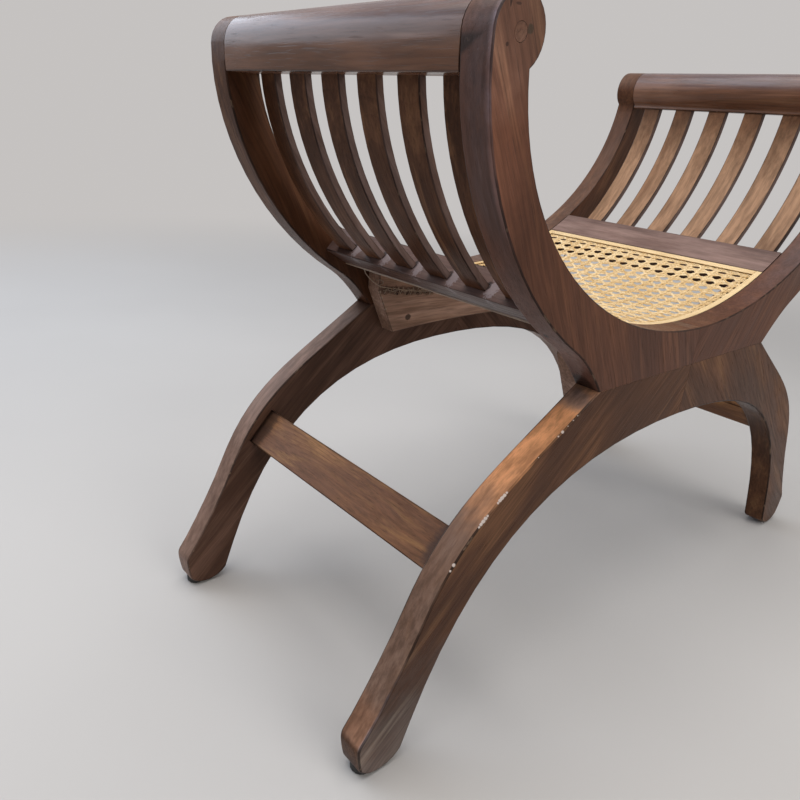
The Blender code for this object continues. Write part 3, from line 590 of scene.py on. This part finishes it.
# painted light: the cleats' teak is far paler than the other boards', to light them in the shade under
# the seat
brightened_cleat_teak = teak(
    "brightened_cleat_teak", (0.240, 0.140, 0.098), (0.390, 0.245, 0.182), (0.500, 0.330, 0.255), rings=0.5,
    stain=0.6, lit_fade=0.1, spots=lacing_shade + cleat_knot + lacing_holes + glue_ticks)
plug_teak = teak(
    "plug_teak", (0.078, 0.031, 0.017), (0.118, 0.052, 0.030), (0.155, 0.072, 0.041), rings=0.6,
    lit_fade=0.1, tones=warm_arm)
dowel_wood = plain("dowel_wood", (0.2, 0.11, 0.06), 0.6)
screw_steel = plain("screw_steel", (0.42, 0.40, 0.37), 0.42, 1.0)
glide_rubber = plain("glide_rubber", (0.022, 0.021, 0.020), 0.65)
split_cane = cane_skin("split_cane", (0.52, 0.33, 0.13), (0.80, 0.62, 0.36), (0.45, 0.27, 0.10))
lacing_cane = cane_skin("lacing_cane", (0.20, 0.135, 0.095), (0.40, 0.295, 0.215), (0.12, 0.075, 0.05))


# Arms and legs

def free_of_joints(first, last):
    """Not on the faces where the boards of a frame meet each other."""
    middle = max(abs(first.x), abs(last.x)) < AT_JOINT
    waist = max(abs(first.z - WAIST), abs(last.z - WAIST)) < AT_JOINT
    return not middle and not waist


def at_top_rail(first, last):
    """On an arm's inner face, where the top rail meets it."""
    inside = max(abs(first.y), abs(last.y)) < FRAME_INSIDE + AT_JOINT
    return inside and min(first.z, last.z) > TOP_RAIL_BOTTOM - RAIL_MARGIN


def make_arm(frame_name, side_name):
    label = frame_name + "_" + side_name
    side, front = SIDES[side_name], FRAMES[frame_name]
    holes = [label + "_top_rail_dowel", label + "_lower_rail_dowel", label + "_waist_dowel",
             label + "_cleat_screw", frame_name + "_arm_dowel"]
    arm = take_board(label + "_arm", label + "_arm_board")
    ease_edges(arm, BOARD_EDGE, 3,
               lambda *ends: free_of_joints(*ends) and not at_top_rail(*ends), holes)
    ease_edges(arm, FINE_EDGE, 2,
               lambda *ends: free_of_joints(*ends) and at_top_rail(*ends), holes)
    flatten_shading(arm)
    lay_grain(arm, (side * 0.48, 0, 0.88), (0.2, front, 0.1), (0.3 * side, 0.09 + 0.13 * front, 0.21))
    settle(arm, arm_teak if frame_name == "front" else back_arm_teak, label + "_arm")


def make_leg(frame_name, side_name):
    label = frame_name + "_" + side_name
    side, front = SIDES[side_name], FRAMES[frame_name]
    holes = [label + "_waist_dowel", frame_name + "_leg_dowel", label + "_foot_glide"]
    leg = take_board(label + "_leg", label + "_leg_board")
    floor = [corner.co.copy() for corner in leg.data.vertices
             if abs(abs(corner.co.y) - HOUSING_FLOOR) < AT_POINT]

    def at_housing(end):
        return any(math.hypot(end.x - spot.x, end.z - spot.z) < AT_POINT for spot in floor)

    def at_toe(*ends):
        return all(abs(end.x) > TOE_REACH - AT_POINT and abs(end.z - TOE_HEIGHT) < TOE_SPREAD
                   for end in ends)

    ease_edges(leg, TOE_EDGE, 4, at_toe)
    ease_edges(leg, BOARD_EDGE, 3,
               lambda *ends: free_of_joints(*ends) and not all(map(at_housing, ends)), holes)
    flatten_shading(leg)
    lay_grain(leg, (-side * 0.72, 0, 0.69), (0.1, front, 0.2), (0.7 * side, 0.05 + 0.21 * front, 0.4))
    settle(leg, leg_teak if frame_name == "front" else back_leg_teak, label + "_leg")


# Rails, slats, stretchers and cleats

def at_rail_end(first, last):
    return min(abs(first.y), abs(last.y)) > RAIL_ENDS and first.y * last.y > 0


def along_rail(first, last):
    return not at_rail_end(first, last)


def make_rails(side_name):
    side = SIDES[side_name]
    slats = ["%s_slat_%d" % (side_name, place) for place in SLATS]
    top = take_board(side_name + "_top_rail", side_name + "_top_rail_board")
    holes = slats + [name + "_" + side_name + "_top_rail_dowel" for name in FRAMES]
    ease_edges(top, FINE_EDGE, 2, at_rail_end, holes)
    ease_edges(top, BAR_EDGE, 3, along_rail, holes)
    flatten_shading(top)
    lay_grain(top, (0, 1, 0), (side, 0, 0.4), (0.2 * side, 0.5, 0.1 * side))
    settle(top, rail_teak, side_name + "_top_rail")

    lower = take_board(side_name + "_lower_rail", side_name + "_lower_rail_board")
    holes = slats + [name + "_" + side_name + "_lower_rail_dowel" for name in FRAMES]
    ease_edges(lower, LEDGE_EDGE, 3, along_rail, holes)
    flatten_shading(lower)
    lay_grain(lower, (0, 1, 0), (-side, 0, 0.6), (0.9, 0.2 * side, 0.33))
    settle(lower, ledge_teak, side_name + "_lower_rail")


def make_slat(side_name, place):
    name = "%s_slat_%d" % (side_name, place)
    side = SIDES[side_name]
    slat = take_board(name, name + "_strip")
    ease_edges(slat, SLAT_EDGE, 3, everywhere)
    flatten_shading(slat)
    lay_grain(slat, (side * 0.62, 0, 0.78), (side, 0.1 * (place - 3), 0.3),
              (0.37 * place, 0.061 * place, 0.17 * side * place))
    settle(slat, slat_teak, name)


def make_stretcher(side_name):
    side = SIDES[side_name]
    bar = take_board(side_name + "_stretcher", side_name + "_stretcher_bar")
    ease_edges(bar, BAR_EDGE, 3, everywhere)
    flatten_shading(bar)
    lay_grain(bar, (side * 0.089, 1, 0.080), (side * 0.743, 0, 0.669),
              heart=(side * 0.3258, 0.045, 0.1995))
    settle(bar, bar_teak, side_name + "_stretcher")


def make_cleat(frame_name):
    front = FRAMES[frame_name]
    screws = [frame_name + "_" + name + "_cleat_screw" for name in SIDES]
    cleat = take_board(frame_name + "_seat_cleat", frame_name + "_seat_cleat_board")
    ease_edges(cleat, CLEAT_EDGE, 2, everywhere, screws)
    flatten_shading(cleat)
    lay_grain(cleat, (1, 0, 0), (0, front, 0.3), (0.1 * front, 0.6, 0.25))
    settle(cleat, brightened_cleat_teak, frame_name + "_seat_cleat")


# Cane seat: plaited flat, then laid on the seat curve

STRAND_WIDTH = 0.0027
STRAND_THICKNESS = 0.0008
PAIR_HALF = 0.00170      # from the middle of a pair to each strand
CROSSING_HALF = 0.0045   # from the middle of a crossing to where its strands lie level again
PITCH_ALONG = 0.01514    # of the pairs along the seat curve
CLOSE_PITCH = 0.0105     # and of the outermost ones
EVEN_PAIRS = 11          # counted from the middle, before they get closer
OUTER_PAIR = 12
PITCH_ACROSS = 0.0171
FIRST_ACROSS = 0.01145   # a pair of strands that runs along the curve
DIAGONALS = 24           # each way, counted from the middle
DIAGONAL_STEPS = 6       # points from one pair to the next
CANE_DEPTH = 0.00285     # below the seat curve
CANE_END = 0.18150       # half width of the woven panel, level
CANE_SIDE = 0.1563
SELVAGE = 0.002          # along its sides, without a pair
ANGLE_STEP = math.radians(0.05)


def seat_table():
    """Angles on the seat curve and their distances along it from the middle."""
    angles = [ANGLE_STEP * step for step in range(1300)]
    lengths = [0.0]
    for angle in angles[1:]:
        pace = math.hypot(SEAT_HALF_WIDTH * math.cos(angle), SEAT_SAG * math.sin(angle))
        lengths.append(lengths[-1] + pace * ANGLE_STEP)
    return angles, lengths


ANGLES, LENGTHS = seat_table()


def along_of(level):
    """Distance along the seat curve at this level distance from the middle."""
    angle = math.asin(level / SEAT_HALF_WIDTH)
    return LENGTHS[round(angle / ANGLE_STEP)]


def lay_on_seat(spot):
    """A flat point (along the curve, y, height) put on the seat curve."""
    distance = abs(spot.x)
    low, high = 0, len(LENGTHS) - 1
    while high - low > 1:
        step = (low + high) // 2
        if LENGTHS[step] < distance:
            low = step
        else:
            high = step
    share = (distance - LENGTHS[low]) / (LENGTHS[high] - LENGTHS[low])
    angle = math.copysign(ANGLES[low] + (ANGLES[high] - ANGLES[low]) * share, spot.x)
    sine, cosine = math.sin(angle), math.cos(angle)
    up = Vector((-SEAT_SAG * sine, 0, SEAT_HALF_WIDTH * cosine)).normalized()
    base = Vector((SEAT_HALF_WIDTH * sine, spot.y, SEAT_RIM - SEAT_SAG * cosine))
    return base + up * (spot.z - CANE_DEPTH)


def draw_path(curve, path):
    spline = curve.splines.new("POLY")
    spline.points.add(len(path) - 1)
    for spot, point in zip(spline.points, path):
        spot.co = (*point, 1)
    return spline


def strand_profile():
    """Section of split cane: rounded above, flat below."""
    half, rise = STRAND_WIDTH / 2, STRAND_THICKNESS / 2
    shape = bpy.data.curves.new("strand_section", "CURVE")
    outline = draw_path(shape, [
        (-half, -rise, 0), (half, -rise, 0), (half * 0.85, rise * 0.3, 0), (half * 0.35, rise, 0),
        (-half * 0.35, rise, 0), (-half * 0.85, rise * 0.3, 0)])
    outline.use_cyclic_u = True
    section = bpy.data.objects.new("strand_section", shape)
    bpy.context.scene.collection.objects.link(section)
    return section


def strands_as_mesh(name, strands, **settings):
    """Strands as curves with a section, made a mesh."""
    curve = bpy.data.curves.new(name, "CURVE")
    curve.dimensions = "3D"
    curve.use_fill_caps = True
    for label, value in settings.items():
        setattr(curve, label, value)
    for path in strands:
        draw_path(curve, path)
    piece = bpy.data.objects.new(name, curve)
    bpy.context.scene.collection.objects.link(piece)
    choose(piece)
    bpy.ops.object.convert(target="MESH")
    return bpy.context.view_layer.objects.active


def mark_strand(piece, number):
    """Write what the cane's material reads: place along a strand, its number, place across.

    The number only gives a strand its tone, and each kind of strand starts its own hundred.
    """
    mark = piece.data.attributes.new("strand", "FLOAT_VECTOR", "POINT")
    for corner, spot in zip(piece.data.vertices, mark.data):
        spot.vector = number(corner.co)


def lattice_along(place):
    """Distance along the curve of a place counted in pairs, with the last pairs set closer."""
    extra = max(0.0, abs(place) - EVEN_PAIRS)
    return math.copysign(PITCH_ALONG * (abs(place) - extra) + CLOSE_PITCH * extra, place)


def lattice_across(place):
    return FIRST_ACROSS + PITCH_ACROSS * place


def crossing(middle, half):
    """Places and heights of a strand where it crosses a pair: over one strand, under the other."""
    lift = half * STRAND_THICKNESS * 0.45
    return ((middle - CROSSING_HALF, 0), (middle - PAIR_HALF, -lift),
            (middle + PAIR_HALF, lift), (middle + CROSSING_HALF, 0))


def straight_strands(reach):
    """Pairs along the curve and pairs from frame to frame, plain-woven where they cross."""
    rows = [place for place in range(-10, 11) if abs(lattice_across(place)) < CANE_SIDE - SELVAGE]
    columns = range(-OUTER_PAIR, OUTER_PAIR + 1)
    curve_pairs, frame_pairs = [], []
    for row in rows:
        for half in (-1, 1):
            y = lattice_across(row) + half * PAIR_HALF
            inner = [(x, y, z) for column in columns for x, z in crossing(lattice_along(column), half)
                     if abs(x) <= reach]
            curve_pairs.append([(-reach, y, 0)] + inner + [(reach, y, 0)])
    for column in columns:
        for half in (-1, 1):
            x = lattice_along(column) + half * PAIR_HALF
            inner = [(x, y, z) for row in rows for y, z in crossing(lattice_across(row), -half)
                     if abs(y) <= CANE_SIDE]
            frame_pairs.append([(x, -CANE_SIDE, 0)] + inner + [(x, CANE_SIDE, 0)])
    return curve_pairs, frame_pairs


def diagonal_strands(reach, slant):
    """Diagonals one way, over the pairs of one direction and under those of the other."""
    found = []
    last = (OUTER_PAIR + 1) * DIAGONAL_STEPS
    for number in range(-DIAGONALS, DIAGONALS + 1):
        path = []
        for step in range(-last, last + 1):
            place = step / DIAGONAL_STEPS
            x, y = lattice_along(place), lattice_across(slant * (place - number - 0.5))
            if abs(x) <= reach and abs(y) <= CANE_SIDE:
                height = slant * STRAND_THICKNESS * 0.95 * math.cos(2 * math.pi * place)
                path.append((x, y, height))
        if len(path) > 3:
            found.append(path)
    return found


def make_cane_panel():
    section = strand_profile()
    reach = along_of(CANE_END)
    curve_pairs, frame_pairs = straight_strands(reach)
    parts = []
    for name, strands, number in (
            ("curve_pairs", curve_pairs, lambda p: (p.x, round(p.y / (2 * PAIR_HALF)) * 1.7, p.z)),
            ("frame_pairs", frame_pairs, lambda p: (p.y, 300 + round(p.x / (2 * PAIR_HALF)) * 1.3, p.z)),
            ("rising", diagonal_strands(reach, 1),
             lambda p: (p.x * 1.4, 600 + round(p.x / PITCH_ALONG - p.y / PITCH_ACROSS), p.z)),
            ("falling", diagonal_strands(reach, -1),
             lambda p: (p.x * 1.4, 900 + round(p.x / PITCH_ALONG + p.y / PITCH_ACROSS), p.z))):
        part = strands_as_mesh(name, strands, twist_mode="Z_UP", bevel_mode="OBJECT",
                               bevel_object=section)
        mark_strand(part, number)
        parts.append(part)
    bpy.data.objects.remove(section)
    choose(parts[0])
    for part in parts:
        part.select_set(True)
    bpy.ops.object.join()
    panel = bpy.context.view_layer.objects.active
    panel.name = "cane_seat_weave"
    for corner in panel.data.vertices:
        corner.co = lay_on_seat(corner.co)
    open_mesh(panel, "FACE")
    bpy.ops.mesh.select_all(action="SELECT")
    bpy.ops.mesh.normals_make_consistent(inside=False)
    close_mesh(panel)
    smooth(panel, 50)
    settle(panel, split_cane, "cane_seat")


def make_binder(node):
    strip = take_board(node, node + "_strip")
    ease_edges(strip, FINE_EDGE, 2, everywhere)
    smooth(strip)
    if node.startswith(("front", "back")):
        mark_strand(strip, lambda p: (p.x, 1300 + len(node), p.y))
    else:
        mark_strand(strip, lambda p: (p.y, 1500 + len(node), p.x))
    settle(strip, split_cane, node)


# Small fittings

def make_plug(node):
    """The end of a dowel that shows on a scroll."""
    plug = take_board(node, node + "_plug")
    flatten_shading(plug)
    lay_grain(plug, (0, 1, 0), (1, 0, 0), (0.1, 0.8 * plug.data.vertices[0].co.x, 0.1))
    settle(plug, plug_teak, node)


def make_screw(node):
    """A countersunk head with its driving slot."""
    low, high = (Vector(corner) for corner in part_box(node))
    head = min(low.y, high.y, key=abs)
    screw = take_board(node, node + "_head")
    bpy.ops.object.select_all(action="DESELECT")
    bpy.ops.mesh.primitive_cube_add(size=1, location=((low.x + high.x) / 2, head, (low.z + high.z) / 2))
    slot = bpy.context.view_layer.objects.active
    slot.scale = (0.012, 0.0024, 0.0012)
    slot.rotation_euler = (0, 0.5 + 40 * low.x, 0)
    bpy.ops.object.transform_apply(location=False, rotation=True, scale=True)
    apply_step(screw, "BOOLEAN", operation="DIFFERENCE", object=slot, solver="EXACT")
    bpy.data.objects.remove(slot)
    ease_edges(screw, SLOT_EDGE, 2, lambda *ends: all(abs(end.y - head) < AT_FACE for end in ends))
    flatten_shading(screw)
    settle(screw, screw_steel, node)


# Lacing: ends of cane tied off on the cleats' inner faces

def round_strands(name, strands, radius):
    piece = strands_as_mesh(name, strands, bevel_depth=radius, bevel_resolution=1)
    smooth(piece, 60)
    return piece


def make_lacing(frame_name):
    """A loose end, a long run, a loop and a stitch, at both ends of a cleat."""
    end = FRAMES[frame_name]
    strands = []
    for side in SIDES.values():
        def on_cleat(x, z, off=0.0006):
            return (side * x, end * (CLEAT_FACE - off), z)

        loose = ((0.2030, 0.3925), (0.1995, 0.3850), (0.1940, 0.3790), (0.1872, 0.3735),
                 (0.1800, 0.3690))
        tied = ((0.1728, 0.3655), (0.1570, 0.3618), (0.1400, 0.3588), (0.1185, 0.3548),
                (0.0960, 0.3520), (0.0800, 0.3510))
        loop = ((0.1818, 0.3750), (0.1744, 0.3742), (0.1700, 0.3722), (0.1696, 0.3690),
                (0.1745, 0.3680), (0.1745, 0.3655))
        strands.append([on_cleat(x, z, 0.0010 + 0.0004 * step) for step, (x, z) in enumerate(loose)]
                       + [on_cleat(x, z) for x, z in tied])
        strands.append([on_cleat(x, 0.3600 - 0.095 * (0.168 - x) - 0.0012 * math.sin(300 * x))
                        for x in (0.168 - 0.004 * step for step in range(23))])
        strands.append([on_cleat(x, z) for x, z in loop])
        stitch = []
        for step in range(20):
            x = 0.166 - 0.0044 * step
            middle = 0.3605 - 0.11 * (0.168 - x)
            swing = 0.0040 if step % 2 else -0.0042
            stitch.append(on_cleat(x, middle + swing, 0.0014 if step % 4 else 0.0005))
        strands.append(stitch)
    lacing = round_strands(frame_name + "_lacing", strands, 0.0007)
    mark_strand(lacing, lambda p: (p.x, 1700 + round(p.z / 0.004), p.z))
    settle(lacing, lacing_cane)


def make_edge_strand(side_name):
    """A round strand of cane along the underside of a lower rail."""
    side = SIDES[side_name]
    path = [(side * (0.2126 + 0.0003 * math.sin(1.9 * step)), -0.1555 + 0.0311 * step,
             0.3939 - 0.0001 * (step % 3)) for step in range(11)]
    strand = round_strands(side_name + "_edge_strand", [path], 0.0011)
    mark_strand(strand, lambda p: (p.y, 1900 + side, p.x))
    settle(strand, lacing_cane)


# Floor, light and camera

BACKGROUND = (0.56, 0.54, 0.53, 1)
PHOTO_SIZE = 800         # pixels
SENSOR_WIDTH = 36


def background_rays(tree):
    """Rays that see the background: straight ones, and those by way of a shine or glass."""
    path = add(tree, "ShaderNodeLightPath").outputs
    seen = maths(tree, "MAXIMUM", path["Is Camera Ray"], path["Is Glossy Ray"])
    return maths(tree, "MAXIMUM", seen, path["Is Transmission Ray"])


def make_floor():
    """A pale floor that passes into the background far from the stool."""
    bpy.ops.object.select_all(action="DESELECT")
    bpy.ops.mesh.primitive_circle_add(vertices=96, radius=14, fill_type="NGON",
                                      location=(0, 0, -0.0004))
    floor = bpy.context.view_layer.objects.active
    floor.name = "studio_floor"
    material, tree, shader = new_material("studio_floor")
    place = place_on_object(tree)
    tone = noise(tree, place, 3.0, 0.5, 1.5)
    tone = mix(tree, tone, (0.50, 0.485, 0.475, 1), (0.57, 0.555, 0.545, 1))
    feed(tree, shader, {"Base Color": tone, "Roughness": 0.8, "Specular IOR Level": 0.2})
    far = ramp(tree, vector_maths(tree, "LENGTH", place, output="Value"), 1.0, 3.2)
    away = add(tree, "ShaderNodeEmission", {"Color": BACKGROUND, "Strength": 1.0})
    meet = add(tree, "ShaderNodeMixShader", {0: multiply(tree, far, background_rays(tree)),
                                             1: shader.outputs[0], 2: away.outputs[0]})
    feed(tree, tree.nodes["Material Output"], {"Surface": meet.outputs[0]})
    floor.data.materials.append(material)


def soft_light(name, spot, aim, size, power, colour):
    bpy.ops.object.select_all(action="DESELECT")
    bpy.ops.object.light_add(type="AREA", location=spot)
    lamp = bpy.context.view_layer.objects.active
    lamp.name = name
    lamp.data.shape = "RECTANGLE"
    lamp.data.size, lamp.data.size_y = size
    lamp.data.energy = power
    lamp.data.color = colour
    lamp.visible_camera = False
    lamp.rotation_euler = (Vector(aim) - Vector(spot)).to_track_quat("-Z", "Y").to_euler()


def make_light():
    soft_light("overhead_light", (-0.35, 0.1, 2.3), (-0.1, 0, 0.3), (2.2, 2.2), 50, (1.0, 0.98, 0.96))
    soft_light("front_light", (0.2, -2.6, 1.6), (0, 0, 0.4), (2.0, 1.6), 34, (1.0, 0.97, 0.93))
    soft_light("window_light", (-1.15, 2.6, 1.55), (-0.2, 0, 0.4), (3.4, 1.6), 53, (0.74, 0.85, 1.0))
    world = bpy.data.worlds.new("studio")
    bpy.context.scene.world = world
    world.use_nodes = True
    tree = world.node_tree
    ambient = tree.nodes["Background"]
    feed(tree, ambient, {"Color": (0.98, 0.97, 0.96, 1), "Strength": 0.18})
    seen = add(tree, "ShaderNodeBackground", {"Color": BACKGROUND, "Strength": 1.0})
    shown = add(tree, "ShaderNodeMixShader", {0: background_rays(tree), 1: ambient.outputs[0],
                                              2: seen.outputs[0]})
    feed(tree, tree.nodes["World Output"], {"Surface": shown.outputs[0]})
    bpy.context.scene.view_settings.view_transform = "Standard"


def make_camera():
    """The photo's camera, as fitted to the stool."""
    bpy.ops.object.select_all(action="DESELECT")
    bpy.ops.object.camera_add(location=(-0.74267, -0.51987, 0.56681))
    camera = bpy.context.view_layer.objects.active
    camera.data.sensor_width = SENSOR_WIDTH
    camera.data.lens = 704.56 / PHOTO_SIZE * SENSOR_WIDTH
    camera.data.shift_x = 54.06 / PHOTO_SIZE
    camera.data.shift_y = 15.06 / PHOTO_SIZE
    turn, pitch, roll = math.radians(51.0916), math.radians(23.5615), math.radians(-3.7504)
    level = Vector((math.cos(turn), math.sin(turn), 0))
    right = Vector((math.sin(turn), -math.cos(turn), 0))
    forward = level * math.cos(pitch) - Vector((0, 0, math.sin(pitch)))
    down = -(level * math.sin(pitch) + Vector((0, 0, math.cos(pitch))))
    across = right * math.cos(roll) + down * math.sin(roll)
    below = down * math.cos(roll) - right * math.sin(roll)
    camera.rotation_euler = Matrix((across, -below, -forward)).transposed().to_euler()
    bpy.context.scene.camera = camera


make_camera()
make_light()
make_floor()
for frame_name in FRAMES:
    for side_name in SIDES:
        make_arm(frame_name, side_name)
        make_leg(frame_name, side_name)
        make_plug(frame_name + "_" + side_name + "_top_rail_dowel")
        make_screw(frame_name + "_" + side_name + "_cleat_screw")
    make_cleat(frame_name)
    make_lacing(frame_name)
    make_binder(frame_name + "_cane_binder")
for side_name in SIDES:
    make_rails(side_name)
    make_stretcher(side_name)
    make_edge_strand(side_name)
    make_binder(side_name + "_cane_binder")
    for place in SLATS:
        make_slat(side_name, place)
make_cane_panel()
for name, node in nodes.items():
    for ending, material in (("_dowel", dowel_wood), ("_glide", glide_rubber)):
        if name.endswith(ending):
            node.data.materials.clear()
            node.data.materials.append(material)
